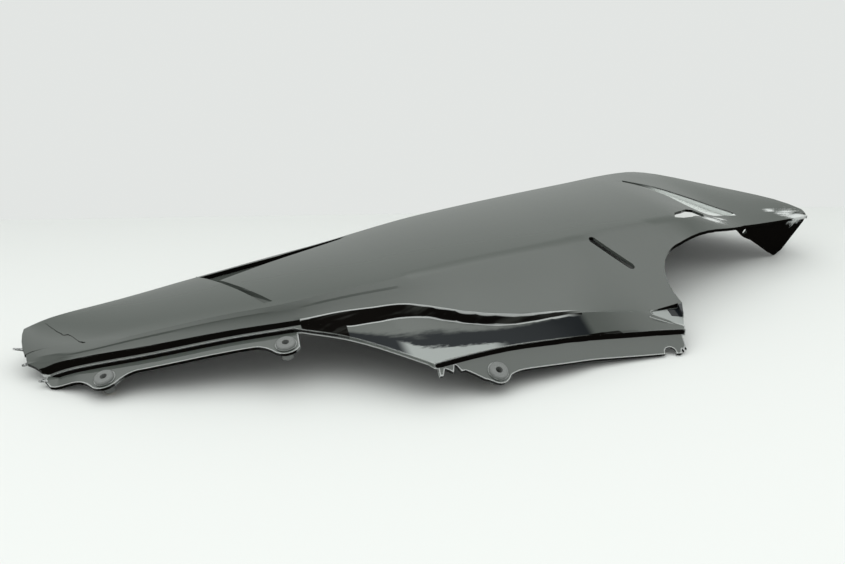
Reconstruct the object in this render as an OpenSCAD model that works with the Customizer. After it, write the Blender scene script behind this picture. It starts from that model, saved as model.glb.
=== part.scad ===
// Lower side fairing (belly pan side) of a road motorcycle, outer face up as it lies on a table.
// X runs along the panel, Y across it (away from the near flange), Z up. Millimetres.

/* [Moulding] */
// Overall length of the moulding
pan_length = 768; // [700:1:800]
// Wall of the moulded shell
wall = 2.6; // [2:0.1:3.6]
// Rise of the big upper plate between far rim and ridge
plate_crown = 4; // [0:0.5:9]
// Hollow of the lower facet between ridge and lip
facet_hollow = 1.2; // [0:0.2:4]
// Rounding of the ridge, across the crease
ridge_round = 7; // [3:0.5:12]
// Rounding of the far rim
rim_round = 5; // [3:0.5:8]
// How far the rear end rolls down past its soft crease
end_roll = 9; // [2:0.5:12]
// Length of that rolled end
end_roll_length = 29; // [22:1:38]

/* [Steps and scoop] */
// Height of the dark step wall under the lip, at the rear end
step_height = 6.3; // [4:0.1:8]
// Height of the same step where the rear flange ends
step_height_front = 4; // [3:0.1:6]
// Width of the thin ledge under that step
ledge_width = 2; // [1.5:0.1:3]
// Height of the groove wall between the visible face and the rear flange
rear_groove_height = 4.6; // [4:0.1:6]
// Height of the groove wall between the visible face and the front flange
front_groove_height = 5.6; // [4:0.1:7]
// Depth of the scoop wall at its deepest
scoop_depth = 9; // [6:0.5:11]
// Height of the free edge between the two flanges
blade_edge_height = 3.2; // [2.8:0.1:5]

/* [Flanges and lugs] */
// Tilt of the rear flange below level
rear_tilt = 12; // [6:1:20]
// Tilt of the front flange below level
front_tilt = 33; // [28:1:40]
// Thickness of the mounting flanges
flange_thick = 2.6; // [2:0.1:3.6]
// Width of the rear flange
rear_flange_width = 10.5; // [9:0.5:14]
// Width of the front flange
front_flange_width = 18; // [15:0.5:22]
// Radius of the lugs that hold the well nuts
lug_radius = 11; // [10:0.5:14]
// Distance of a lug's hole from the groove wall, rear flange
rear_lug_reach = 13.5; // [12:0.5:16]
// Distance of a lug's hole from the groove wall, front flange
front_lug_reach = 15; // [13:0.5:18]
// Width left of the front flange's torn rear end
torn_width = 7; // [5:0.5:9]
// How far a lug's edge runs out into its flange
lug_runout = 15; // [8:0.5:18]
// Height of the narrow part of a lug's hole, above the relief that lets the rubber swell
lug_land = 1.5; // [1.2:0.1:1.8]
// Height of the flat seat under each well nut
seat_height = 0.6; // [0.4:0.1:1.2]
// Place of the rear well nut
rear_nut_x = -322; // [-330:1:-300]
// Place of the middle well nut
middle_nut_x = -186; // [-220:1:-186]
// Place of the front well nut
front_nut_x = -37; // [-40:1:0]
// Place of the broken lug at the front end
broken_lug_x = 129; // [112:1:130]

/* [Well nuts] */
// Outer radius of the rubber flange
nut_flange_radius = 8; // [7:0.25:9]
// Height of the rubber flange above the lug
nut_flange_height = 2.2; // [1.4:0.1:3]
// Radius of the rubber body under the lug
nut_body_radius = 5; // [4.6:0.1:5.8]
// Length of the rubber body under the lug's upper face
nut_body_length = 12; // [11.5:0.5:16]
// Gap around the rubber body in its hole
nut_clearance = 0.1; // [0:0.05:0.2]
// Radius of the screw hole's mouth in the rubber, which narrows to the thread's radius
screw_hole_radius = 2.9; // [2.7:0.1:3.2]
// Outer radius of the brass insert
insert_radius = 3.6; // [3.3:0.1:4]
// Length of the brass insert
insert_length = 8; // [6:0.5:9]
// Radius of the insert's thread, at its crests
thread_radius = 2.1; // [2:0.05:2.3]

/* [Openings] */
// Length of the cooling slot near the ridge
slot_length = 44; // [26:1:54]
// Width of the cooling slot
slot_width = 7.5; // [4:0.5:10]
// Turn of the cooling slot in plan
slot_turn = -49; // [-60:1:-40]
// Radius of the arch that is cut into the front end
arch_radius = 53; // [48:1:57]
// Depth of the arrow groove
arrow_depth = 4; // [2:0.5:6]
// Depth of the louvre at its dark edge
louvre_depth = 6; // [3:0.5:8]
// Depth of the three-cornered recess at the front edge
notch_depth = 4; // [2:0.5:5]
// Radius of the small hole in the tip's wall
tip_hole_radius = 3; // [2:0.25:4]

/* [Tab] */
// Length of the locating tab behind the far rim
tab_length = 46; // [34:1:56]
// Width of the locating tab
tab_width = 19; // [12:1:24]

/* [Hidden] */
eps = 0.01;
$fn = 48;

// Character lines of the panel, each a short row of control points [along, across, height],
// rear end first. The shell is drawn through them.
far_rim = [[-380, 19, 33], [-346, 26, 36], [-302, 31, 40], [-230, 43, 47], [-135, 62, 54], [-3, 105, 58],
           [172, 146, 59], [260, 164, 58], [276, 160, 57], [330, 95, 54], [370, 45, 50], [388, 16, 44]];
ridge = [[-384, -14, 23], [-356, -34, 26], [-293, -54, 42], [-233, -66, 53], [-170, -78, 62], [-110, -78, 68],
         [-38, -67, 71], [72, -52, 73], [121, -38, 73], [206, -23, 71], [296, -9, 48], [388, 9, 42]];
lip = [[-373, -27, 9], [-359, -35, 17], [-342, -45, 24], [-287, -65, 35], [-227, -76, 43], [-173, -88, 49],
       [-118, -95, 54], [-90, -99, 55], [-45, -121, 51], [-19, -127, 47], [46, -131, 42], [119, -127, 30],
       [169, -127, 22]];
// Foot of the return that wraps under the engine; it stands on the table at its deepest
foot = [[-380, 25, 18], [-302, 38, 20], [-135, 69, 30], [-3, 112, 22], [113, 138, 6], [165, 150, 0],
        [232, 165, 0], [262, 170, 9], [285, 164, 22], [330, 102, 34], [370, 52, 31], [388, 22, 27]];
// Across and down from the lip to the foot of the scoop wall: [along, across, down as a share]
scoop_foot = [[-384, -1.5, 0], [-173, -1.5, 0], [-140, -14, 0.78], [-88, -8, 1], [-26, -3, 1],
              [46, -2.5, 0.2], [68, -2.5, 0.07], [181, -2.5, 0.05]];
// Lower edge of the visible face: the scoop floor widens from nothing behind the notch
sill = [[-173, -94, 43], [-140, -114, 40], [-91, -161, 32], [-87, -165, 31], [-83, -164, 31], [-25, -153, 30],
        [28, -147, 26], [62, -142, 22], [119, -144, 18], [146, -148, 17], [181, -153, 15]];

// Smooth line through control points, value k at place x along the panel
function seg(L, x, i = 0) = i >= len(L) - 2 || x < L[i + 1][0] ? i : seg(L, x, i + 1);
function slope(L, i, k) = let (n = len(L) - 1, a = max(i - 1, 0), b = min(i + 1, n))
    let (s0 = i > 0 ? (L[i][k] - L[i - 1][k]) / (L[i][0] - L[i - 1][0]) : undef,
         s1 = i < n ? (L[i + 1][k] - L[i][k]) / (L[i + 1][0] - L[i][0]) : undef)
    i == 0 ? s1 : i == n ? s0 : s0 * s1 <= 0 ? 0 : 2 * s0 * s1 / (s0 + s1);
function at(L, x0, k) = let (x = min(max(x0, L[0][0]), L[len(L) - 1][0]), i = seg(L, x),
    h = L[i + 1][0] - L[i][0], u = (x - L[i][0]) / h, m0 = slope(L, i, k), m1 = slope(L, i + 1, k))
    (2 * u * u * u - 3 * u * u + 1) * L[i][k] + (u * u * u - 2 * u * u + u) * h * m0
    + (3 * u * u - 2 * u * u * u) * L[i + 1][k] + (u * u * u - u * u) * h * m1;

crease_x = -353;
function roll(x) = x < crease_x ? end_roll * pow((crease_x - x) / end_roll_length, 2) : 0;
function rim_p(x) = [at(far_rim, x, 1), at(far_rim, x, 2) - roll(x) * 0.4];
function ridge_p(x) = [at(ridge, x, 1), at(ridge, x, 2) - roll(x)];
function lip_p(x) = [at(lip, x, 1), at(lip, x, 2)];
function wallfoot_p(x) = let (l = lip_p(x), s = at(scoop_foot, x, 2),
    d = x < -342 ? step_height : x < -173 ? mix(step_height, step_height_front, (x + 342) / 169) :
        x < -140 ? mix(step_height_front, 7, (x + 173) / 33) : max(scoop_depth * s, 0.4),
    y = l[0] + at(scoop_foot, x, 1))
    [y, max(l[1] - d, 6.4)];
function sill_p(x) = x < -173 ? let (w = wallfoot_p(x)) [w[0] - ledge_width, max(w[1] - 0.5, 6)] :
    [min(at(sill, x, 1), wallfoot_p(x)[0] - ledge_width), min(at(sill, x, 2), wallfoot_p(x)[1] - 0.4)];
function hem_p(x) = let (e = sill_p(x), g = x < -173 ? rear_groove_height : x < -91 ? blade_edge_height :
    x < -83 ? mix(blade_edge_height, front_groove_height, (x + 91) / 8) : front_groove_height)
    [e[0] - 0.6, max(e[1] - g, 5.3)];

function mix(a, b, u) = a + (b - a) * u;
function bulge(u, h) = 4 * h * u * (1 - u);
// Section of the outer face at one station, far foot first, near hem last, as [across, height]
function section(x) = let (f = rim_p(x), r = ridge_p(x), l = lip_p(x), w = wallfoot_p(x),
    e = sill_p(x), h = hem_p(x), ft = [at(foot, x, 1), max(at(foot, x, 2) - roll(x) * 0.4, 0)],
    span = max(f[0] - r[0], 1), cr = plate_crown * min(1, span / 120),
    rr = min(ridge_round / span, 0.3), rl = min(ridge_round / max(r[0] - l[0], 1), 0.3))
    concat(
        [ft, [mix(f[0] + 1, ft[0], 0.25), mix(f[1] - rim_round, ft[1], 0.06)],
         [f[0] - rim_round * 0.2, f[1] - rim_round * 0.3],
         [f[0] - rim_round, f[1]]],
        [for (u = [0.18, 0.4, 0.62, 0.82]) [mix(f[0] - rim_round, r[0], u), mix(f[1], r[1], u) + bulge(u, cr)]],
        [[mix(r[0], f[0], rr), mix(r[1], f[1], rr) + bulge(rr, cr) - 0.2], [r[0], r[1] - 0.6],
         [mix(r[0], l[0], rl), mix(r[1], l[1], rl) - 0.2]],
        [for (u = [0.36, 0.58, 0.8]) [mix(r[0], l[0], u), mix(r[1], l[1], u) - bulge(u, facet_hollow)]],
        [l, w, [mix(w[0], e[0], 0.5), mix(w[1], e[1], 0.5) - 0.3], e, h]);
// Share of the wall by which each section point moves inward: [across, down]
inward = [[-1, 0], [-1, -0.1], [-0.9, -0.8], [-0.5, -1], [0, -1], [0, -1], [0, -1], [0.05, -1],
          [0.1, -1], [0.2, -1], [0.3, -1], [0.4, -1], [0.45, -1], [0.5, -1], [0.85, -0.9],
          [0.95, -0.85], [1, -0.85], [1, -0.85], [1, 0]];
// Where each section point starts at the rear end
start = [-377, -379, -380, -381, -383, -384, -384, -383, -382, -382, -381, -379, -376, -374, -373,
         -372, -371, -371, -370];
stations = concat([-380, -374, -367, -359, -351, -342, -330, -316], [for (i = [0:8]) -302 + i * 14],
    [-179, -173, -165, -156, -148, -140, -130, -119, -107, -98, -91, -87, -83, -76], [for (i = [0:15]) -68 + i * 15.8],
    [181, 192, 206, 219, 233, 246, 259, 268, 278, 289, 301, 314, 330, 343, 357, 368, 377, 384]);
rows = len(stations);
cols = len(start);
function place(x, j) = x + (x < -330 ? (start[j] + 380) * (-330 - x) / 50 : 0);
function outer(i, j) = let (x = place(stations[i], j), p = section(x)[j]) [x, p[0], p[1]];

module shell() {
    pts = [for (side = [0, 1]) for (i = [0:rows - 1]) for (j = [0:cols - 1]) let (p = outer(i, j))
        side == 0 ? p : let (low = outer(i, cols - 1)[2] + (cols - 1 - j) * 0.15)
            [p[0], p[1] + inward[j][0] * wall, j == cols - 1 ? p[2] : j < 8 ? p[2] + inward[j][1] * wall :
                max(p[2] + inward[j][1] * wall, low)]];
    n = rows * cols;
    quads = concat(
        [for (i = [0:rows - 2]) for (j = [0:cols - 2]) let (a = i * cols + j) [a, a + 1, a + cols + 1, a + cols]],
        [for (i = [0:rows - 2]) for (j = [0:cols - 2]) let (a = n + i * cols + j) [a, a + cols, a + cols + 1, a + 1]],
        [for (j = [0:cols - 2]) [j + 1, j, n + j, n + j + 1]],
        [for (j = [0:cols - 2]) let (a = (rows - 1) * cols + j) [a, a + 1, n + a + 1, n + a]],
        [for (i = [0:rows - 2]) let (a = i * cols) [a, a + cols, n + a + cols, n + a]],
        [for (i = [0:rows - 2]) let (a = i * cols + cols - 1) [a + cols, a, n + a, n + a + cols]]);
    polyhedron(pts, [for (q = quads) each [[q[0], q[2], q[1]], [q[0], q[3], q[2]]]], convexity = 10);
}

// Height of the outer face over a point in plan
function lookup_y(P, y, j = 3) = j >= 13 || y > P[j + 1][0] ?
    mix(P[j][1], P[j + 1][1], (P[j][0] - y) / (P[j][0] - P[j + 1][0])) : lookup_y(P, y, j + 1);
function skin(p) = lookup_y(section(p[0]), p[1]);

// A pocket in the outer face between two edges in plan; rows of [outer, inner, outer depth, inner depth]
function unit(v) = v / norm(v);
module pocket(rows4, top, extra, side) {
    n = len(rows4);
    R = [for (k = [0:n - 1]) let (r = rows4[k], w = unit(r[0] - r[1]), a = unit(rows4[min(k + 1, n - 1)][0]
        - rows4[max(k - 1, 0)][0]), e = k == 0 ? -side * a : k == n - 1 ? side * a : [0, 0],
        o = r[0] + w * side + e, i = r[1] - w * side + e, zo = skin(r[0]), zi = skin(r[1]))
        [[o[0], o[1], zo + top], [i[0], i[1], zi + top], [i[0], i[1], zi - r[3] - extra], [o[0], o[1], zo - r[2] - extra]]];
    pts = [for (r = R) each r];
    sides = [for (k = [0:n - 2]) for (c = [0:3]) let (a = 4 * k + c, b = 4 * k + (c + 1) % 4) [a, b, b + 4, a + 4]];
    ends = [[3, 2, 1, 0], [4 * n - 4, 4 * n - 3, 4 * n - 2, 4 * n - 1]];
    polyhedron(pts, [for (q = concat(sides, ends)) each [[q[0], q[2], q[1]], [q[0], q[3], q[2]]]], convexity = 4);
}
arrow_far = [[[-232, 34], [-220, 6], arrow_depth, 0.2], [[-160, 46], [-142, 40], arrow_depth, 0.1],
             [[-89, 69], [-97, 61], 1, 0.1]];
arrow_near = [[[-197, -68], [-190, -68], arrow_depth, 1], [[-232, 35], [-219, 7], arrow_depth, 0.2]];
louvre = [[[231, 119], [228, 113], 1.5, 0.5], [[247, 95], [240, 80], louvre_depth * 0.7, 0.1],
          [[289, 33], [254, 11], louvre_depth, 0.1], [[302, 15], [290, 10], louvre_depth, 0.4]];
end_notch = [[[124, -128], [123, -131], 0.6, 0.2], [[156, -119], [152, -146], notch_depth, 0.4]];

// Flange strip that follows the hem from x0 to x1
function strip_dir(x, tilt) = let (x0 = x - 5, x1 = x < -173 ? min(x + 5, -173.1) : x + 5, a = hem_p(x0),
    b = hem_p(x1), t = unit([x1 - x0, b[0] - a[0], b[1] - a[1]]),
    o = [0, -cos(tilt), -sin(tilt)], v = unit(o - (o * t) * t)) [t, v, cross(v, t)];
function lug_edge(dx, reach, width) = let (r = lug_radius, e = reach + sqrt(max(r * r - dx * dx, 0)), s = r * 0.86)
    abs(dx) <= s ? e : abs(dx) >= s + lug_runout ? width :
    let (u = (abs(dx) - s) / lug_runout, e1 = reach + sqrt(r * r - s * s)) max(width, mix(e1, width, 1 - (1 - u) * (1 - u)));
function strip_width(x, nuts, reach, width, lead, least) =
    min(max([for (n = nuts) lug_edge(x - n, reach, width)]), max(least, 2.5 + x - lead));
function strip_o(x, f) = let (h = hem_p(x)) [x, h[0], h[1]] + 0.7 * f[2];
module strip(xs, nuts, reach, width, tilt, lead, least) {
    pts = [for (x = xs) let (f = strip_dir(x, tilt), o = strip_o(x, f), w = strip_width(x, nuts, reach, width, lead, least),
        a = o - 1.6 * f[1], b = o + w * f[1], d = -flange_thick * f[2]) each [a, b, b + d, a + d]];
    n = len(xs);
    sides = [for (k = [0:n - 2]) for (c = [0:3]) let (a = 4 * k + c, b = 4 * k + (c + 1) % 4) [a, b, b + 4, a + 4]];
    polyhedron(pts, [for (q = concat(sides, [[3, 2, 1, 0], [4 * n - 4, 4 * n - 3, 4 * n - 2, 4 * n - 1]]))
        each [[q[0], q[2], q[1]], [q[0], q[3], q[2]]]], convexity = 6);
}
// Frame of a lug: z out of its seat, origin on the flange's face at the hole. What moulding() lengthens
// by itself is placed with k = 1
stretch = pan_length / 768;
function lengthened(v, k) = [v[0] * k, v[1], v[2]];
module at_lug(x, reach, tilt, k = stretch) {
    f = strip_dir(x, tilt);
    o = lengthened(strip_o(x, f) + reach * f[1], k);
    t = unit(lengthened(f[0], k));
    n = unit(cross(lengthened(f[1], k), t));
    y = cross(n, t);
    multmatrix([[t[0], y[0], n[0], o[0]], [t[1], y[1], n[1], o[1]], [t[2], y[2], n[2], o[2]], [0, 0, 0, 1]]) children();
}
module at_rear_lug(k = stretch) at_lug(rear_nut_x, rear_lug_reach, rear_tilt, k) children();
module at_middle_lug(k = stretch) at_lug(middle_nut_x, rear_lug_reach, rear_tilt, k) children();
module at_front_lug(k = stretch) at_lug(front_nut_x, front_lug_reach, front_tilt, k) children();

lug_hole_radius = nut_body_radius + nut_clearance;
module seat() translate([0, 0, -1.5]) cylinder(r = nut_flange_radius + 0.6, h = 1.5 + seat_height, $fn = 36);
relief = flange_thick + 1 - lug_land;
module lug_hole() {
    translate([0, 0, -lug_land]) cylinder(r = lug_hole_radius, h = 8);
    translate([0, 0, -lug_land - relief]) cylinder(r1 = lug_hole_radius + relief, r2 = lug_hole_radius, h = relief);
}

module arch_cut() translate([0, 0, -20]) linear_extrude(140) {
    translate([212, -104]) circle(r = arch_radius, $fn = 96);
    polygon([[146, -280], [146.5, -150], [148, -144], [155, -131], [161, -118], [159.5, -104], [212, -104],
             [212 - arch_radius * 0.32, -104 + arch_radius * 0.947], [296, -10.8], [406, 11], [406, -280]]);
}
module slot_cut() translate([119, -64, 0]) rotate(slot_turn) linear_extrude(100) {
    s = slot_length / 2 - slot_width / 2;
    square([2 * s, slot_width], center = true);
    for (d = [-s, s]) translate([d, 0]) circle(d = slot_width);
}
// Worn-through hole at the front of the ridge
module wear_cut() translate([0, 0, 20]) linear_extrude(70)
    polygon([[208, -23], [214, -12], [227, -3], [238, 6], [247, 8], [255, 1], [251, -8], [238, -12], [229, -19], [218, -23]]);

// What broke away at the rear end of the front flange: a spike is left, then a nick
module torn_cut() translate([0, 0, -6]) linear_extrude(12)
    polygon([[-16, -9], [-10, -1], [-7, -3.4], [-4.6, -6.2], [-2.6, -3.2], [-0.6, 0.2], [1, -1.4], [3, -9]]);

// What broke away around the hole at the front end of the flange; a finger is left beside it
module break_cut() translate([0, 0, -9]) linear_extrude(18) {
    polygon([[-6.5, -8], [-5.6, -3.2], [-3, -1], [3, -1], [4.6, -3], [4.4, -8]]);
    polygon([[9.4, -8], [9.8, 0], [11, 3.5], [12.4, 0.4], [14, 5], [15.2, 2], [18, 6], [22, 6], [22, -8]]);
}

// Wall of the tip: hangs from the tip's near edge and stands on the table
tip_x = unit([388, 9, 42] - [296, -10.5, 47.5]);
tip_n = unit(cross(tip_x, [0, 8, -40]));
tip_y = cross(tip_n, tip_x);
module at_tip() multmatrix([[tip_x[0], tip_y[0], tip_n[0], 296], [tip_x[1], tip_y[1], tip_n[1], -9.4],
    [tip_x[2], tip_y[2], tip_n[2], 46.5], [0, 0, 0, 1]]) children();
module tip_wall() at_tip() linear_extrude(wall) {
    polygon([[-16, 1.4], [-7, 4.5], [5, 13.5], [18, 19], [34, 28], [50, 37.5], [57, 40.3], [65, 40.3], [70, 37.5],
        [89.5, 7], [90.5, 1.8]]);
    translate([61, 37.5]) circle(r = 5);
}

// Locating tab behind the far rim
module tab() translate([-288, 33, 19]) rotate([-3, 0, 0]) {
    linear_extrude(wall) polygon([[-tab_width / 2, 0], [-tab_width / 2, tab_length - 9], [-tab_width / 2 + 6, tab_length],
        [tab_width / 2, tab_length], [tab_width / 2, 0]]);
    translate([tab_width / 2 - wall, 0, -5]) cube([wall, tab_length, 5 + eps]);
}

// The moulding without its round holes, brought to its length
module moulding() resize([pan_length, 0, 0]) union() {
    difference() {
        union() {
            shell();
            pocket(arrow_far, -1, wall, wall);
            pocket(arrow_near, -1, wall, wall);
            pocket(louvre, -1, wall, wall);
            pocket(end_notch, -1, wall, wall);
        }
        arch_cut();
        slot_cut();
        wear_cut();
        pocket(arrow_far, 4, 0, 0);
        pocket(arrow_near, 4, 0, 0);
        pocket(louvre, 4, 0, 0);
        pocket(end_notch, 4, 0, 0);
    }
    strip([for (x = [-368:3:-174]) x], [rear_nut_x, middle_nut_x], rear_lug_reach, rear_flange_width, rear_tilt, -370, 3);
    difference() {
        strip([for (x = [-84:3:144]) x], [front_nut_x], front_lug_reach, front_flange_width, front_tilt, -67,
            torn_width);
        at_lug(-69, 0, front_tilt, 1) torn_cut();
        at_lug(broken_lug_x, front_lug_reach + 1.5, front_tilt, 1) break_cut();
    }
    at_rear_lug(1) seat();
    at_middle_lug(1) seat();
    at_front_lug(1) seat();
    tip_wall();
    tab();
}
module side_panel() color([0.13, 0.14, 0.13]) difference() {
    moulding();
    at_rear_lug() lug_hole();
    at_middle_lug() lug_hole();
    at_front_lug() lug_hole();
    at_lug(broken_lug_x, front_lug_reach + 1.5, front_tilt) lug_hole();
    translate([stretch * 296 - 296, 0, 0]) at_tip() translate([5, 7.3, -20]) cylinder(r = tip_hole_radius, h = 40);
}

// Well nut: rubber flange on the seat, rubber body through the lug, brass insert in its far end.
// Above the insert the rubber grips the screw, then its hole widens to the mouth
insert_top = insert_length - nut_body_length;
flange_top = seat_height + nut_flange_height;
module nut_rubber() color([0.1, 0.1, 0.1]) rotate_extrude() polygon([
    [insert_radius, -nut_body_length], [nut_body_radius, -nut_body_length], [nut_body_radius, seat_height],
    [nut_flange_radius, seat_height], [nut_flange_radius, seat_height + nut_flange_height * 0.6],
    [nut_flange_radius - 0.9, flange_top], [screw_hole_radius, flange_top],
    [thread_radius, -lug_land - nut_clearance], [thread_radius, insert_top], [insert_radius, insert_top]]);
module nut_insert() color([0.75, 0.62, 0.3]) translate([0, 0, -nut_body_length]) difference() {
    cylinder(r = insert_radius, h = insert_length);
    translate([0, 0, -1]) cylinder(r = thread_radius, h = insert_length + 2);
}
module rear_well_nut() at_rear_lug() nut_rubber();
module rear_insert() at_rear_lug() nut_insert();
module middle_well_nut() at_middle_lug() nut_rubber();
module middle_insert() at_middle_lug() nut_insert();
module front_well_nut() at_front_lug() nut_rubber();
module front_insert() at_front_lug() nut_insert();

// The part's origin is under the middle of its box, on the table
middle = [0.1, -3.8, 0];
module placed() translate(-middle) children();

placed() side_panel();
placed() rear_well_nut();
placed() rear_insert();
placed() middle_well_nut();
placed() middle_insert();
placed() front_well_nut();
placed() front_insert();
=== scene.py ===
"""Looks of the belly pan side panel: gloss dark paint, bare inner face, wear, and a pale studio."""

import math
import random
from types import SimpleNamespace

import bmesh
import bpy
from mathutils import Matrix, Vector


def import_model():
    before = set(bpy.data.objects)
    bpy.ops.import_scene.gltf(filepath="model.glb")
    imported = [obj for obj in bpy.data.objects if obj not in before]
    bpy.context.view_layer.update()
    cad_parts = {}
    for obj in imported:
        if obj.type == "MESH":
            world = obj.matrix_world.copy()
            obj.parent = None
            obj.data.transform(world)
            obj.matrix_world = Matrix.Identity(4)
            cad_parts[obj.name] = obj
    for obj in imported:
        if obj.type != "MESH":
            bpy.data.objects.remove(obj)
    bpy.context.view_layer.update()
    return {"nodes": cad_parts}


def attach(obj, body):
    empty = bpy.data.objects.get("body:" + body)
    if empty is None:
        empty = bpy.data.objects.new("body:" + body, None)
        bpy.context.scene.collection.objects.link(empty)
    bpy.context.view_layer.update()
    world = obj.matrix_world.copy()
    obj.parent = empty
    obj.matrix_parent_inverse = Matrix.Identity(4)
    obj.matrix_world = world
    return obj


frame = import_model()

# Camera, in the part's frame, at the angle of the photograph
CAMERA_AT = (-0.3707, -0.9129, 0.4231)
CAMERA_AIM = (-0.0124, 0.0716, 0.0)
CAMERA_LENS = 49.46
SENSOR = 36.0
CLIP = (0.01, 50)

# Two ends of the line where the table meets the wall
WALL_LEFT = Vector((-0.394, 0.409, 0.0))
WALL_RIGHT = Vector((0.527, 0.123, 0.0))
WALL_HEIGHT = 0.6
# Share of the wall's height where it starts to fade out
WALL_FADE = 0.45
# How far the table reaches from the middle of that line: to each side, behind it and before it
ROOM_HALF = 3
ROOM_BACK = 3
ROOM_FRONT = 4

# Colours
PAINT_DARK = (0.074, 0.083, 0.075)
PAINT_FLAKE = (0.112, 0.124, 0.113)
# Black of the painted shade on the near-side walls and along the louvre wall's convex edges, and of the
# hairline crack; lighter streaks in the scoop wall's painted shade
SHADE_AND_CRACK_BLACK = (0.0045, 0.004, 0.0035)
WALL_STREAK = (0.030, 0.031, 0.028)
# Painted dark and pale reflections, on the pad and in the recess at the front edge
PAINTED_DARK_REFLECTION = (0.010, 0.0125, 0.0145)
PAINTED_PALE_REFLECTION = (0.30, 0.32, 0.31)
# Painted reflection of the pale room on the louvre's sloped face
PAINTED_LOUVRE_REFLECTION = (0.66, 0.69, 0.67)
# Painted highlight along convex edges
PAINTED_EDGE_HIGHLIGHT = (0.52, 0.54, 0.53)
BARE_PLASTIC = (0.009, 0.0095, 0.0095)
SCUFFED = (0.62, 0.64, 0.63)
RUBBER = (0.14, 0.147, 0.142)
RUBBER_PALER = tuple(c * 1.35 for c in RUBBER)
BRASS = (0.72, 0.55, 0.25)
TABLE_WHITE = (0.71, 0.725, 0.71)
WALL_WHITE = (0.765, 0.785, 0.77)
SKY_WHITE = (0.98, 1.0, 0.985)

# Share of the wall's brightness that gloss shows
WALL_MIRRORED = 0.62
# Brightness of the light tent overhead and low down, how much its near side lacks, and the least that the
# camera sees of it
SKY_TOP = 1.65
SKY_LOW = 0.85
SKY_NEAR_LOSS = 0.7
SKY_SEEN = 0.9
# Bands of a direction's height, and of its turn to the near side, over which the tent changes
SKY_HEIGHT_BAND = (0.1, 1.0)
SKY_NEAR_BAND = (0.1, 0.9)

# Name, place, aim, size and power of each lamp
LAMPS = (
    ("back_light", (0.25, 1.5, 1.6), (0.0, 0.0, 0.0), (1.4, 0.9), 5.5),
    ("front_fill", (-0.2, -1.5, 0.55), (-0.05, 0.0, 0.0), (2.2, 0.8), 2.2),
)

# Edges sharper than this stay sharp, on the panel and on the small parts
PANEL_ANGLE = math.radians(20)
SMALL_ANGLE = math.radians(30)
# Points nearer than this are joined before shading
WELD = 2e-5

# Where the paint is rubbed through: centre, radii and turn of each patch, and how strong it is
RUBS = (
    ((0.374, 0.008, 0.045), (0.030, 0.013, 0.02), -0.30, 1.1),
    ((0.362, 0.016, 0.047), (0.030, 0.016, 0.02), -0.45, 0.8),
    ((0.346, 0.022, 0.050), (0.016, 0.010, 0.02), -0.45, 0.8),
    ((0.256, -0.007, 0.054), (0.030, 0.011, 0.02), 0.35, 1.0),
    ((0.272, 0.002, 0.052), (0.020, 0.008, 0.02), 0.35, 0.75),
)
# Weights of the patch, of streaks and of mottle in a rub, and the band of their sum where it sets in
RUB_PATCH = 0.62
RUB_STREAKS = 0.75
RUB_MOTTLE = 0.35
RUB_BAND = (0.80, 0.98)

# The scoop, as places along and across: its lip, the foot of its wall, and the lower edge of its pad
LIP_LINE = (
    (-0.373, -0.0232), (-0.359, -0.0312), (-0.342, -0.0412), (-0.287, -0.0612), (-0.227, -0.0722),
    (-0.173, -0.0842), (-0.140, -0.088), (-0.118, -0.0912), (-0.090, -0.0952), (-0.076, -0.1012),
    (-0.060, -0.110), (-0.045, -0.1172), (-0.019, -0.1232), (0.046, -0.1272), (0.119, -0.1232),
    (0.170, -0.1232),
)
FOOT_LINE = (
    (-0.173, -0.086), (-0.156, -0.0942), (-0.140, -0.102), (-0.119, -0.1032), (-0.091, -0.1032),
    (-0.076, -0.1072), (-0.060, -0.1152), (-0.045, -0.1212), (-0.019, -0.1262), (0.046, -0.1302),
    (0.119, -0.1262), (0.170, -0.1262),
)
PAD_LINE = (
    (-0.173, -0.090), (-0.140, -0.110), (-0.119, -0.129), (-0.107, -0.141), (-0.091, -0.1565),
    (-0.087, -0.160), (-0.076, -0.1577), (-0.060, -0.1547), (-0.045, -0.152), (-0.019, -0.148),
    (0.000, -0.1457), (0.028, -0.1425), (0.046, -0.1398), (0.062, -0.1378), (0.119, -0.1395),
    (0.146, -0.1433), (0.170, -0.147),
)
SCOOP_START = -0.173
PAD_START = -0.1395
SCOOP_END = 0.055
# Length over which the wall's painted shade and the painted highlight along its rim lines fade out before
# the scoop's end
SCOOP_FADE = 0.02
# Distances from a rim's line where its painted highlight ends, and within which it is full
RIM_BAND = (0.00064, 0.00024)
# Where the pad's painted reflections end, in a slanting line from the scoop's end, and the band of that
# line
PAD_END = (0.052, -0.127)
PAD_END_BAND = (0.004, -0.006)
# Beyond the scoop's end the open face reaches this far above the lip
LIP_MARGIN = 0.001

# Lower facet above the lip: its gap from the lip, its width at the rear and, from a place on, further ahead
FACET_GAP = 0.0004
FACET_WIDTH = 0.014
FACET_WIDTH_FRONT = 0.028
FACET_FRONT = -0.183
FACET_END = -0.03
# Behind this place the step's wall leans back, so the test for steep near faces that get painted shade is
# eased there
REAR_STEP = -0.332
REAR_STEP_FADE = 0.01
REAR_STEP_LEAN = -0.25

# Painted reflections on the pad: how uneven they are, how the dark and the pale part lean along it, and
# where each sets in
PAD_UNEVEN = 0.35
PAD_SHIFT = 0.17
DARK_LEAN = 3.2
DARK_BAND = (0.0, 0.22)
PALE_LEAN = -2.2
PALE_BAND = (0.83, 0.90)
# Both ends of the pale part, along the panel
PALE_FROM = (-0.108, -0.098)
PALE_TO = (-0.016, -0.034)

# The louvre's sloped face, as lines across the panel: its outer and its inner edge
LOUVRE_OUTER = ((0.231, 0.1228), (0.247, 0.0988), (0.289, 0.0368), (0.303, 0.0188))
LOUVRE_INNER = ((0.231, 0.108), (0.240, 0.0838), (0.254, 0.0148), (0.290, 0.0138), (0.303, 0.0138))
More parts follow.
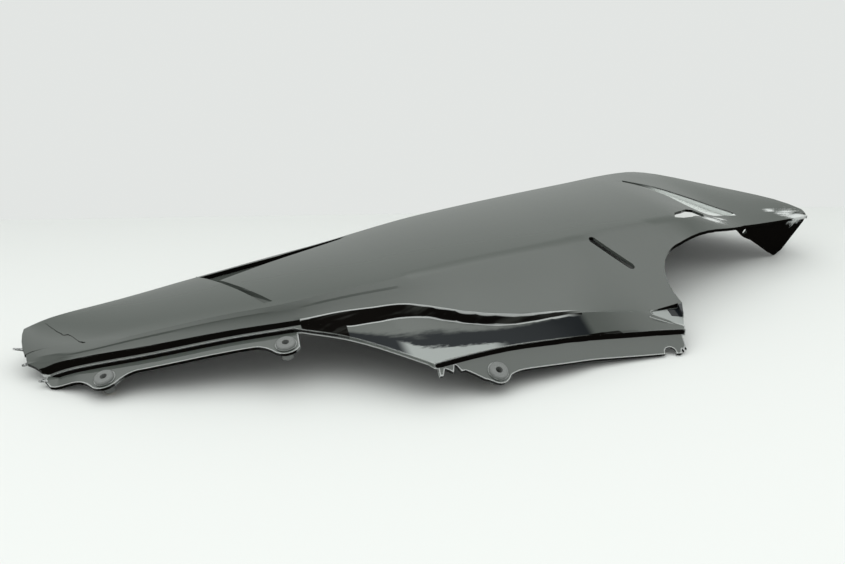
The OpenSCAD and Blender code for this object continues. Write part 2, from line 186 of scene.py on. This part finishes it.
# Places across that its lines lie between
LOUVRE_RANGE = (0.0, 0.15)
LOUVRE_FADE = 0.0012
LOUVRE_FROM = (0.240, 0.256)
LOUVRE_TO = 0.300
# On steep faces the louvre's painted reflection reaches this far past its outer edge, and on level ones
# this much less
LOUVRE_REACH = 0.004
LOUVRE_LEVEL_LESS = 0.005

# The same for the recess at the front edge, which gets painted reflections: its edges, ends and fade, and
# where the dark one in its corner starts
NOTCH_OUTER = ((0.122, -0.1246), (0.160, -0.1142))
NOTCH_INNER = ((0.122, -0.1266), (0.155, -0.1437))
NOTCH_SPAN = (0.125, 0.165)
NOTCH_FADE = (0.0003, 0.0010)
NOTCH_DARK = (0.143, -0.1275)

# Hairline crack across the rear face, the same distances for it, and how far it strays from its line
CRACK_LINE = ((-0.364, 0.016), (-0.352, -0.010), (-0.346, -0.015), (-0.341, -0.026), (-0.336, -0.031))
CRACK_BAND = (0.0008, 0.00035)
CRACK_STRAY = 0.004

# Streaked noise: turn about Z, stretch along each axis, detail and roughness
RUB_STREAK_NOISE = (0.45, (60, 900, 60), 5.0, 0.65)
WALL_STREAK_NOISE = (0.35, (18, 160, 60), 3.0, 0.5)
PAD_STREAK_NOISE = (0.3, (60, 220, 60), 5.0, 0.65)
# Even noise: scale, detail and roughness
MOTTLE_NOISE = (900.0, 4.0, 0.6)
FLAKE_NOISE = (3800.0, 1.0, 0.5)
CRACK_NOISE = (260.0, 3.0, 0.5)
DUST_NOISE = (45.0, 6.0, 0.7)
WAVE_NOISE = (22.0, 2.0, 0.4)
SPECKLE_NOISE = (1400.0, 3.0, 0.6)
TORN_NOISE = (700.0, 4.0, 0.7)
# Bands of that noise where the flakes, streaks, dust, speckles and torn whites set in
FLAKE_BAND = (0.56, 0.72)
WALL_STREAK_BAND = (0.52, 0.72)
DUST_BAND = (0.45, 0.7)
SPECKLE_BAND = (0.4, 0.7)
TORN_BAND = (0.42, 0.62)
# How far a flake goes from the dark paint's colour to its own
FLAKE_SHARE = 0.5
# Strength and depth of each relief
WAVE_BUMP = (0.12, 0.0006)
RUB_BUMP = (0.6, 0.0002)
SPECKLE_BUMP = (0.25, 0.0001)
TORN_BUMP = (0.5, 0.0003)
# Radius that the panel's edges look rounded by
EDGE_ROUND = 0.0005

# Bands of the true normal: its Z on the inner face and on level faces, its Y on steep near faces
INNER_BAND = (-0.02, -0.15)
LEVEL_BAND = (0.70, 0.80)
STEEP_BAND = (-0.72, -0.88)
# Convex edges: how far they are felt, how much stays open where an edge gets a painted highlight and where
# the louvre wall's edge gets painted shade
EDGE_REACH = 0.0018
EDGE_HIGHLIGHT_BAND = (0.84, 0.66)
BRINK_BAND = (0.90, 0.80)
EDGE_HIGHLIGHT_SHARE = 0.8

# Roughness of clean paint, and what dust, the inner face and rubs add to it
PAINT_ROUGH = 0.16
DUST_ROUGH = 0.05
INNER_ROUGH = 0.22
WORN_ROUGH = 0.4
# How much of the clear coat the inner face and the pad's dark part lack
INNER_LOSS = 0.6
PAD_LOSS = 0.75

# Stubs torn at the rear end: root, tip, width and thickness
STUBS = (
    ((-0.3822, 0.0005, 0.0186), (-0.3910, 0.0020, 0.0200), 0.0052, 0.0022),
    ((-0.3800, -0.0105, 0.0108), (-0.3862, -0.0118, 0.0104), 0.0060, 0.0022),
    ((-0.3690, -0.0345, 0.0052), (-0.3750, -0.0368, 0.0062), 0.0050, 0.0022),
)
STUB_RINGS = 6
STUB_SIDES = 12
STUB_SEED = 5
# Share of its width that a stub loses towards its tip, how uneven it is, and how ragged its tip is
STUB_TAPER = 0.5
STUB_UNEVEN = (0.88, 1.12)
STUB_RAGGED = (-0.16, 0.10)


def rgba(colour):
    """A colour with its alpha; one that comes from a node stays as it is."""
    return colour if isinstance(colour, bpy.types.NodeSocket) else (*colour, 1.0)


class Nodes:
    """Short calls for building a node tree."""

    def __init__(self, tree):
        self.tree = tree

    def add(self, kind, inputs=None, **settings):
        node = self.tree.nodes.new(kind)
        for key, value in settings.items():
            setattr(node, key, value)
        for key, value in (inputs or {}).items():
            self.feed(node.inputs[key], value)
        return node

    def feed(self, socket, value):
        if isinstance(value, bpy.types.NodeSocket):
            self.tree.links.new(value, socket)
        else:
            socket.default_value = value

    def math(self, op, a, b=0.0, c=0.0, clamp=False):
        return self.add("ShaderNodeMath", {0: a, 1: b, 2: c}, operation=op, use_clamp=clamp).outputs[0]

    def plus(self, a, b):
        return self.math("ADD", a, b)

    def minus(self, a, b):
        return self.math("SUBTRACT", a, b)

    def times(self, a, b):
        return self.math("MULTIPLY", a, b)

    def scaled(self, a, factor, b):
        """a times factor, plus b."""
        return self.math("MULTIPLY_ADD", a, factor, b)

    def above(self, a, b):
        return self.math("GREATER_THAN", a, b)

    def below(self, a, b):
        return self.math("LESS_THAN", a, b)

    def between(self, a, low, high):
        return self.times(self.above(a, low), self.below(a, high))

    def apart(self, a, b):
        return self.math("ABSOLUTE", self.minus(a, b))

    def all_of(self, *shares):
        result = shares[0]
        for share in shares[1:]:
            result = self.times(result, share)
        return result

    def any_of(self, *shares):
        result = shares[0]
        for share in shares[1:]:
            result = self.math("MAXIMUM", result, share)
        return result

    def without(self, share):
        """What a share leaves."""
        return self.math("SUBTRACT", 1.0, share, clamp=True)

    def ramp(self, value, start, end):
        """0 up to start, 1 from end on, smooth in between. The end may be the lower of the two."""
        band = {"Value": value, "From Min": start, "From Max": end}
        return self.add("ShaderNodeMapRange", band, interpolation_type="SMOOTHSTEP").outputs["Result"]

    def mix_number(self, share, a, b):
        """a at a share of 0, b at a share of 1."""
        return self.scaled(share, self.minus(b, a), a)

    def mix(self, share, a, b):
        """The same for colours."""
        return self.add("ShaderNodeMix", {0: share, 6: rgba(a), 7: rgba(b)}, data_type="RGBA").outputs[2]

    def parts(self, vector):
        """X, Y and Z of a vector."""
        node = self.add("ShaderNodeSeparateXYZ", {"Vector": vector})
        return tuple(node.outputs)

    def place(self, space="Object"):
        return self.add("ShaderNodeTexCoord").outputs[space]

    def vector(self, op, a, b=(0, 0, 0)):
        return self.add("ShaderNodeVectorMath", {0: a, 1: b}, operation=op)

    def stretched(self, at, turn, stretch):
        """Coordinates turned about Z and stretched."""
        settings = {"Vector": at, "Rotation": (0, 0, turn), "Scale": stretch}
        return self.add("ShaderNodeMapping", settings).outputs[0]

    def noise(self, at, scale, detail, roughness):
        settings = {"Vector": at, "Scale": scale, "Detail": detail, "Roughness": roughness}
        return self.add("ShaderNodeTexNoise", settings).outputs["Fac"]

    def streaks(self, at, turn, stretch, detail, roughness):
        """Noise that runs in streaks."""
        return self.noise(self.stretched(at, turn, stretch), 1.0, detail, roughness)

    def patch(self, at, centre, radii, turn):
        """1 in the middle of an ellipsoid, 0 outside it."""
        moved = self.vector("SUBTRACT", at, centre).outputs[0]
        scaled = self.stretched(moved, turn, tuple(1 / r for r in radii))
        return self.without(self.vector("LENGTH", scaled).outputs["Value"])

    def line(self, along, points, low=-0.2, high=0.0):
        """Place across the panel of a smooth line through points, at a place along it. Its places across
        lie between low and high."""
        first, length = points[0][0], points[-1][0] - points[0][0]
        share = self.math("DIVIDE", self.minus(along, first), length, clamp=True)
        node = self.add("ShaderNodeFloatCurve", {"Value": share})
        curve = node.mapping.curves[0]
        knots = [((x - first) / length, (y - low) / (high - low)) for x, y in points]
        curve.points[0].location, curve.points[1].location = knots[0], knots[-1]
        for knot in knots[1:-1]:
            curve.points.new(*knot)
        node.mapping.update()
        return self.scaled(node.outputs[0], high - low, low)

    def bump(self, strength, distance, height, **inputs):
        settings = {"Strength": strength, "Distance": distance, "Height": height, **inputs}
        return self.add("ShaderNodeBump", settings).outputs[0]

    def surface(self, inputs):
        """A principled shader as the material's surface."""
        self.output(self.add("ShaderNodeBsdfPrincipled", inputs))

    def output(self, shader, kind="Material"):
        self.add("ShaderNodeOutput" + kind, {"Surface": shader.outputs[0]})


def new_material(name):
    m = bpy.data.materials.new(name)
    m.use_nodes = True
    m.node_tree.nodes.clear()
    return m, Nodes(m.node_tree)


def link(obj):
    bpy.context.scene.collection.objects.link(obj)


def rub_mask(n, at):
    """Where the paint is rubbed away, in ragged streaks."""
    grain = n.times(n.noise(at, *MOTTLE_NOISE), RUB_MOTTLE)
    grain = n.scaled(n.streaks(at, *RUB_STREAK_NOISE), RUB_STREAKS, grain)
    rubs = []
    for centre, radii, turn, strength in RUBS:
        patch = n.times(n.patch(at, centre, radii, turn), strength)
        rubs.append(n.ramp(n.scaled(patch, RUB_PATCH, grain), *RUB_BAND))
    return n.any_of(*rubs)


def scoop_masks(n, x, y):
    """Masks of the scoop and the step behind it: the scoop's wall, which gets painted shade, the painted
    highlight lines along its lip and foot, its pad and the open faces beside it; also the share of the way
    down the pad, and the near side of the lip."""
    lip, foot, low = n.line(x, LIP_LINE), n.line(x, FOOT_LINE), n.line(x, PAD_LINE)
    under_lip = n.below(y, lip)
    before_end = n.ramp(x, SCOOP_END, SCOOP_END - SCOOP_FADE)
    on_pad = n.above(x, PAD_START)
    wall_foot = n.mix_number(on_pad, low, foot)
    wall = n.all_of(under_lip, n.above(y, wall_foot), before_end, n.above(x, SCOOP_START))

    top = n.mix_number(n.above(x, SCOOP_END), foot, n.plus(lip, LIP_MARGIN))
    open_pad = n.all_of(on_pad, n.between(y, low, top))
    slant = n.plus(x, n.minus(y, PAD_END[1]))
    slant_band = (PAD_END[0] + step for step in PAD_END_BAND)
    pad = n.all_of(open_pad, n.below(y, foot), n.ramp(slant, *slant_band))
    down = n.math("DIVIDE", n.minus(foot, y), n.minus(foot, low), clamp=True)

    width = n.mix_number(n.above(x, FACET_FRONT), FACET_WIDTH, FACET_WIDTH_FRONT)
    facet = n.between(y, n.plus(lip, FACET_GAP), n.plus(lip, width))
    facet = n.all_of(n.below(x, FACET_END), facet)

    painted_highlight_rims = []
    for edge, start in ((lip, SCOOP_START), (foot, PAD_START)):
        near = n.ramp(n.apart(y, edge), *RIM_BAND)
        painted_highlight_rims.append(n.all_of(near, n.above(x, start), before_end))
    return SimpleNamespace(
        wall=wall,
        painted_highlight_rims=n.any_of(*painted_highlight_rims),
        pad=pad,
        face=n.any_of(open_pad, facet),
        down=down,
        under_lip=under_lip,
    )


def pad_masks(n, at, x, scoop):
    """Painted reflections on the pad: dark below its upper left, and pale in an uneven patch along its
    lower edge.
    """
    depth = n.scaled(n.streaks(at, *PAD_STREAK_NOISE), PAD_UNEVEN, n.minus(scoop.down, PAD_SHIFT))
    dark = n.ramp(n.scaled(x, DARK_LEAN, depth), *DARK_BAND)
    pale = n.ramp(n.scaled(x, PALE_LEAN, depth), *PALE_BAND)
    span = n.all_of(n.ramp(x, *PALE_FROM), n.ramp(x, *PALE_TO))
    return n.all_of(scoop.pad, dark), n.all_of(scoop.pad, pale, span)


def louvre_mask(n, x, y, level):
    """The louvre's sloped face and its wall, which get a painted reflection of the pale room."""
    outer, inner = n.line(x, LOUVRE_OUTER, *LOUVRE_RANGE), n.line(x, LOUVRE_INNER, *LOUVRE_RANGE)
    reach = n.scaled(level, LOUVRE_LEVEL_LESS, -LOUVRE_REACH)
    before_outer = n.above(n.minus(outer, y), reach)
    past_inner = n.ramp(n.minus(y, inner), 0.0, LOUVRE_FADE)
    return n.all_of(before_outer, past_inner, n.ramp(x, *LOUVRE_FROM), n.below(x, LOUVRE_TO))


def notch_masks(n, x, y):
    """Painted reflections in the recess at the front edge: a pale one on its floor and a dark one in its
    corner.
    """
    before_outer = n.ramp(n.minus(n.line(x, NOTCH_OUTER), y), *NOTCH_FADE)
    past_inner = n.ramp(n.minus(y, n.line(x, NOTCH_INNER)), *NOTCH_FADE)
    floor = n.all_of(before_outer, past_inner, n.between(x, *NOTCH_SPAN))
    return floor, n.all_of(floor, n.above(x, NOTCH_DARK[0]), n.above(y, NOTCH_DARK[1]))


def crack_mask(n, at, x, y):
    stray = n.scaled(n.noise(at, *CRACK_NOISE), CRACK_STRAY, n.minus(y, CRACK_STRAY / 2))
    near = n.ramp(n.apart(stray, n.line(x, CRACK_LINE)), *CRACK_BAND)
    return n.all_of(near, n.between(x, CRACK_LINE[0][0], CRACK_LINE[-1][0]))


def paint_material():
    """Gloss paint with fine flakes. Shades that the photograph shows in fixed places are masks here."""
    m, n = new_material("panel_paint")
    at = n.place()
    x, y, _ = n.parts(at)
    _, normal_y, normal_z = n.parts(n.add("ShaderNodeNewGeometry").outputs["True Normal"])
    inside = {"samples": 6, "inside": True, "only_local": True}
    openness = n.add("ShaderNodeAmbientOcclusion", {"Distance": EDGE_REACH}, **inside).outputs["AO"]
    inner = n.ramp(normal_z, *INNER_BAND)
    outer = n.without(inner)
    level = n.ramp(normal_z, *LEVEL_BAND)
    scoop = scoop_masks(n, x, y)

    # Step, groove and scoop walls on the near side get painted shade: black, with lighter streaks on the
    # scoop's wall, and no clear coat
    lean = n.times(n.ramp(x, REAR_STEP, REAR_STEP - REAR_STEP_FADE), REAR_STEP_LEAN)
    steep = n.ramp(n.plus(normal_y, lean), *STEEP_BAND)
    wall = n.any_of(n.all_of(steep, n.without(scoop.face)), n.all_of(scoop.wall, outer))
    wall_streaks = n.ramp(n.streaks(at, *WALL_STREAK_NOISE), *WALL_STREAK_BAND)
    painted_shade_colour = n.mix(n.all_of(wall_streaks, scoop.wall), SHADE_AND_CRACK_BLACK, WALL_STREAK)

    # Convex edges of the steps and flanges, and the scoop's lip and foot, get a painted highlight: a pale
    # line
    edges = n.any_of(n.all_of(n.ramp(openness, *EDGE_HIGHLIGHT_BAND), scoop.under_lip), scoop.painted_highlight_rims)

    pad_dark_reflection, pad_pale_reflection = pad_masks(n, at, x, scoop)
    pad_dark_reflection = n.all_of(pad_dark_reflection, outer)
    louvre = n.all_of(louvre_mask(n, x, y, level), outer)
    painted_shade_brink = n.all_of(louvre, n.without(level), n.ramp(openness, *BRINK_BAND))
    notch, corner = notch_masks(n, x, y)
    crack = n.all_of(crack_mask(n, at, x, y), outer)
    worn = rub_mask(n, at)

    flakes = n.ramp(n.noise(at, *FLAKE_NOISE), *FLAKE_BAND)
    colour = n.mix(n.times(flakes, FLAKE_SHARE), PAINT_DARK, PAINT_FLAKE)
    for share, laid_on in (
        (inner, BARE_PLASTIC),
        # painted dark and pale reflections on the pad
        (pad_dark_reflection, PAINTED_DARK_REFLECTION),
        (n.all_of(pad_pale_reflection, outer), PAINTED_PALE_REFLECTION),
        # painted shade on the near-side walls
        (wall, painted_shade_colour),
        # painted highlight along convex edges
        (n.times(n.all_of(edges, outer), EDGE_HIGHLIGHT_SHARE), PAINTED_EDGE_HIGHLIGHT),
        # painted reflection of the pale room on the louvre
        (louvre, PAINTED_LOUVRE_REFLECTION),
        # painted shade along the convex edges of the louvre's wall
        (painted_shade_brink, SHADE_AND_CRACK_BLACK),
        # painted pale and dark reflections in the front recess
        (n.all_of(notch, outer), PAINTED_PALE_REFLECTION),
        (n.all_of(corner, outer), PAINTED_DARK_REFLECTION),
        (crack, SHADE_AND_CRACK_BLACK),
        (worn, SCUFFED),
    ):
        colour = n.mix(share, colour, laid_on)

    dust = n.ramp(n.noise(at, *DUST_NOISE), *DUST_BAND)
    rough = n.scaled(dust, DUST_ROUGH, PAINT_ROUGH)
    rough = n.scaled(inner, INNER_ROUGH, rough)
    rough = n.scaled(worn, WORN_ROUGH, rough)
    rounded = n.add("ShaderNodeBevel", {"Radius": EDGE_ROUND}, samples=4).outputs[0]
    waves = n.bump(*WAVE_BUMP, n.noise(at, *WAVE_NOISE), Normal=rounded)
    lost_coat = n.any_of(worn, crack, wall, n.times(inner, INNER_LOSS), n.times(pad_dark_reflection, PAD_LOSS))
    n.surface({
        "Base Color": colour,
        "Metallic": 0.0,
        "Roughness": rough,
        "IOR": 1.5,
        "Specular IOR Level": 0.0,
        "Coat Weight": n.without(lost_coat),
        "Coat Roughness": 0.04,
        "Normal": n.bump(*RUB_BUMP, worn, Normal=waves),
    })
    return m


def rubber_material():
    m, n = new_material("nut_rubber")
    speckle = n.noise(n.place(), *SPECKLE_NOISE)
    colour = n.mix(n.ramp(speckle, *SPECKLE_BAND), RUBBER, RUBBER_PALER)
    n.surface({"Base Color": colour, "Roughness": 0.42, "Normal": n.bump(*SPECKLE_BUMP, speckle)})
    return m


def brass_material():
    m, n = new_material("insert_brass")
    n.surface({"Base Color": rgba(BRASS), "Metallic": 1.0, "Roughness": 0.28})
    return m


def broken_material():
    """Bare moulding, torn pale where it broke."""
    m, n = new_material("broken_plastic")
    torn = n.ramp(n.noise(n.place(), *TORN_NOISE), *TORN_BAND)
    colour = n.mix(torn, BARE_PLASTIC, SCUFFED)
    n.surface({"Base Color": colour, "Roughness": 0.6, "Normal": n.bump(*TORN_BUMP, torn)})
    return m


def smooth(obj, max_angle):
    """Shades smooth across small angles: the imported faces are joined first, then weighted by area."""
    old = obj.data.attributes.get("custom_normal")
    if old:
        obj.data.attributes.remove(old)
    tree = bpy.data.node_groups.new("smooth_" + obj.name, "GeometryNodeTree")
    for way in ("INPUT", "OUTPUT"):
        tree.interface.new_socket("Geometry", in_out=way, socket_type="NodeSocketGeometry")
    n = Nodes(tree)
    start = n.add("NodeGroupInput").outputs[0]
    joined = n.add("GeometryNodeMergeByDistance", {"Geometry": start, "Distance": WELD}).outputs[0]
    faces = n.add("GeometryNodeSetShadeSmooth", {"Geometry": joined}, domain="FACE").outputs[0]
    angle = n.add("GeometryNodeInputMeshEdgeAngle").outputs["Unsigned Angle"]
    sharp = n.add("FunctionNodeCompare", {"A": angle, "B": max_angle}, operation="GREATER_THAN").outputs[0]
    settings = {"Geometry": faces, "Selection": sharp, "Shade Smooth": False}
    edges = n.add("GeometryNodeSetShadeSmooth", settings, domain="EDGE").outputs[0]
    n.add("NodeGroupOutput", {0: edges})
    obj.modifiers.new("smooth", "NODES").node_group = tree
    obj.modifiers.new("weighted", "WEIGHTED_NORMAL").keep_sharp = True


def dress(node, material, max_angle):
    obj = frame["nodes"][node]
    obj.data.materials.clear()
    obj.data.materials.append(material)
    smooth(obj, max_angle)


def stub(name, root, tip, width, thick, material, rng):
    """A torn stub of the moulding: wide at its root, ragged at its tip."""
    root, tip = Vector(root), Vector(tip)
    run = tip - root
    side = run.cross(Vector((0, 0, 1))).normalized()
    up = side.cross(run).normalized()
    bm = bmesh.new()
    rings = []
    for k in range(STUB_RINGS):
        share = k / (STUB_RINGS - 1)
        ring = []
        for i in range(STUB_SIDES):
            turn = 2 * math.pi * i / STUB_SIDES
            reach = (1 - STUB_TAPER * share) * rng.uniform(*STUB_UNEVEN)
            ragged = run * rng.uniform(*STUB_RAGGED) * (share == 1)
            across = side * math.cos(turn) * width / 2 * reach
            rise = up * math.sin(turn) * thick / 2 * reach
            ring.append(bm.verts.new(root + run * share + ragged + across + rise))
        rings.append(ring)
    for a, b in zip(rings, rings[1:]):
        for i in range(STUB_SIDES):
            j = (i + 1) % STUB_SIDES
            bm.faces.new((a[i], a[j], b[j], b[i]))
    bm.faces.new(rings[0][::-1])
    bm.faces.new(rings[-1])
    bmesh.ops.recalc_face_normals(bm, faces=bm.faces)
    mesh = bpy.data.meshes.new(name)
    bm.to_mesh(mesh)
    bm.free()
    mesh.materials.append(material)
    obj = bpy.data.objects.new(name, mesh)
    link(obj)
    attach(obj, "root")


def plane(name, corners, material):
    mesh = bpy.data.meshes.new(name)
    mesh.from_pydata([tuple(c) for c in corners], [], [tuple(range(len(corners)))])
    mesh.materials.append(material)
    obj = bpy.data.objects.new(name, mesh)
    link(obj)
    return obj


def table_material():
    m, n = new_material("table")
    n.surface({"Base Color": rgba(TABLE_WHITE), "Roughness": 0.5, "Specular IOR Level": 0.2})
    return m


def backdrop_material():
    """The wall glows like the side of a light tent and fades out upwards. It is seen from its front only,
    so it doesn't hide the part in views from behind."""
    m, n = new_material("backdrop")
    height = n.parts(n.place())[2]
    fade = n.ramp(height, WALL_HEIGHT * WALL_FADE, WALL_HEIGHT)
    back = n.add("ShaderNodeNewGeometry").outputs["Backfacing"]
    mirrored = n.add("ShaderNodeLightPath").outputs["Is Glossy Ray"]
    strength = n.mix_number(mirrored, 1.0, WALL_MIRRORED)
    glow = n.add("ShaderNodeEmission", {"Color": rgba(WALL_WHITE), "Strength": strength}).outputs[0]
    clear = n.add("ShaderNodeBsdfTransparent").outputs[0]
    n.output(n.add("ShaderNodeMixShader", {0: n.any_of(back, fade), 1: glow, 2: clear}))
    return m


def studio():
    along = (WALL_RIGHT - WALL_LEFT).normalized()
    away = Vector((-along.y, along.x, 0))
    middle = (WALL_LEFT + WALL_RIGHT) / 2
    left, right = middle - along * ROOM_HALF, middle + along * ROOM_HALF
    front, back = away * -ROOM_FRONT, away * ROOM_BACK
    plane("table", [left + front, right + front, right + back, left + back], table_material())
    up = Vector((0, 0, WALL_HEIGHT))
    wall = plane("backdrop", [left, right, right + up, left + up], backdrop_material())
    wall.visible_shadow = False


def put(obj, at, aim):
    """Puts a lamp or the camera at a place in the scene, turned towards another place."""
    obj.location = at
    obj.rotation_mode = "QUATERNION"
    obj.rotation_quaternion = (Vector(aim) - Vector(at)).to_track_quat("-Z", "Y")
    link(obj)


def lamp(name, at, aim, size, power):
    light = bpy.data.lights.new(name, "AREA")
    light.shape, light.energy = "RECTANGLE", power
    light.size, light.size_y = size
    obj = bpy.data.objects.new(name, light)
    obj.visible_glossy = False
    put(obj, at, aim)


def world():
    """A soft light tent: bright overhead, dimmer low down and on the near side, and white where the camera
    sees it."""
    w = bpy.data.worlds.new("soft_light")
    w.use_nodes = True
    w.node_tree.nodes.clear()
    n = Nodes(w.node_tree)
    _, way_y, way_z = n.parts(n.place("Generated"))
    overhead = n.ramp(way_z, *SKY_HEIGHT_BAND)
    near = n.ramp(n.times(way_y, -1.0), *SKY_NEAR_BAND)
    tent = n.scaled(near, -SKY_NEAR_LOSS, n.mix_number(overhead, SKY_LOW, SKY_TOP))
    seen = n.add("ShaderNodeLightPath").outputs["Is Camera Ray"]
    level = n.any_of(tent, n.times(seen, SKY_SEEN))
    n.output(n.add("ShaderNodeBackground", {"Color": rgba(SKY_WHITE), "Strength": level}), "World")
    bpy.context.scene.world = w


def camera():
    cam = bpy.data.objects.new("camera", bpy.data.cameras.new("camera"))
    cam.data.lens, cam.data.sensor_width = CAMERA_LENS, SENSOR
    cam.data.clip_start, cam.data.clip_end = CLIP
    put(cam, CAMERA_AT, CAMERA_AIM)
    bpy.context.scene.camera = cam


dress("side_panel", paint_material(), PANEL_ANGLE)
rubber, brass, broken = rubber_material(), brass_material(), broken_material()
for end in ("rear", "middle", "front"):
    dress(end + "_well_nut", rubber, SMALL_ANGLE)
    dress(end + "_insert", brass, SMALL_ANGLE)

rng = random.Random(STUB_SEED)
for number, (root, tip, width, thick) in enumerate(STUBS):
    stub("torn_stub_%d" % number, root, tip, width, thick, broken, rng)

studio()
for name, at, aim, size, power in LAMPS:
    lamp(name, at, aim, size, power)
world()
camera()
bpy.context.scene.view_settings.view_transform = "Standard"
